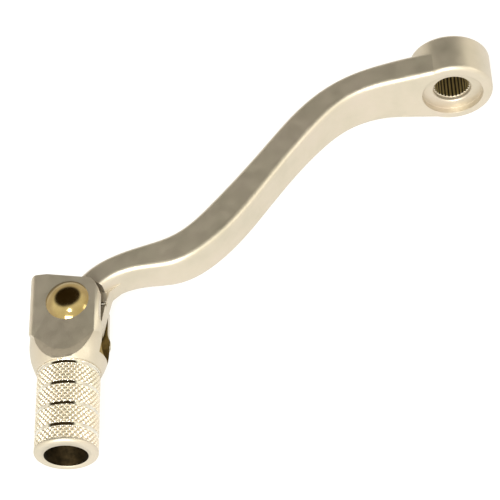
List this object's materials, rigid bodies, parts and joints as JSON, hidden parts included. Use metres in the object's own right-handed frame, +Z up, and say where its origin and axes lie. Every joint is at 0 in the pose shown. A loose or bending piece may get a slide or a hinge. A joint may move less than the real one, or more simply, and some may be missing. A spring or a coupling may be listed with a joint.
{
  "type": "gear shift lever",
  "caption": "Motorcycle gear shift lever: S-bent aluminium arm with a serrated shaft hub and a sprung folding tip with a knurled hollow peg.",
  "frame": {"origin": "on the gearbox shaft axis, at the hub's outer face", "axes": "+Z up, +Y inboard along the shaft axis, -Y outboard towards the foot peg's end, -X forwards along the arm"},
  "size_m": [0.1488, 0.131, 0.026],
  "materials": {
    "anodised_aluminium": "satin clear anodised",
    "anodised_aluminium_tip": "satin clear anodised, knurled on the peg",
    "polished_steel": "polished, faintly yellow plating",
    "bronze_bushing": "turned",
    "steel_washer": "plain",
    "spring_steel": "drawn wire"
  },
  "bodies": {
    "arm": {"lever_arm": "anodised_aluminium", "pivot_bushing": "bronze_bushing", "lower_thrust_washer": "steel_washer", "upper_thrust_washer": "steel_washer", "return_spring": "spring_steel"},
    "tip": {"folding_tip": "anodised_aluminium_tip", "pivot_rivet": "polished_steel"}
  },
  "joints": [
    {"name": "tip_fold", "type": "hinge", "parent": "arm", "child": "tip", "pos_m": [-0.1229, -0.068, 0], "axis": [0, 0, 1], "range_deg": [0, 60], "stiffness_Nm_per_rad": 0.35, "springref_deg": -34.38}
  ]
}
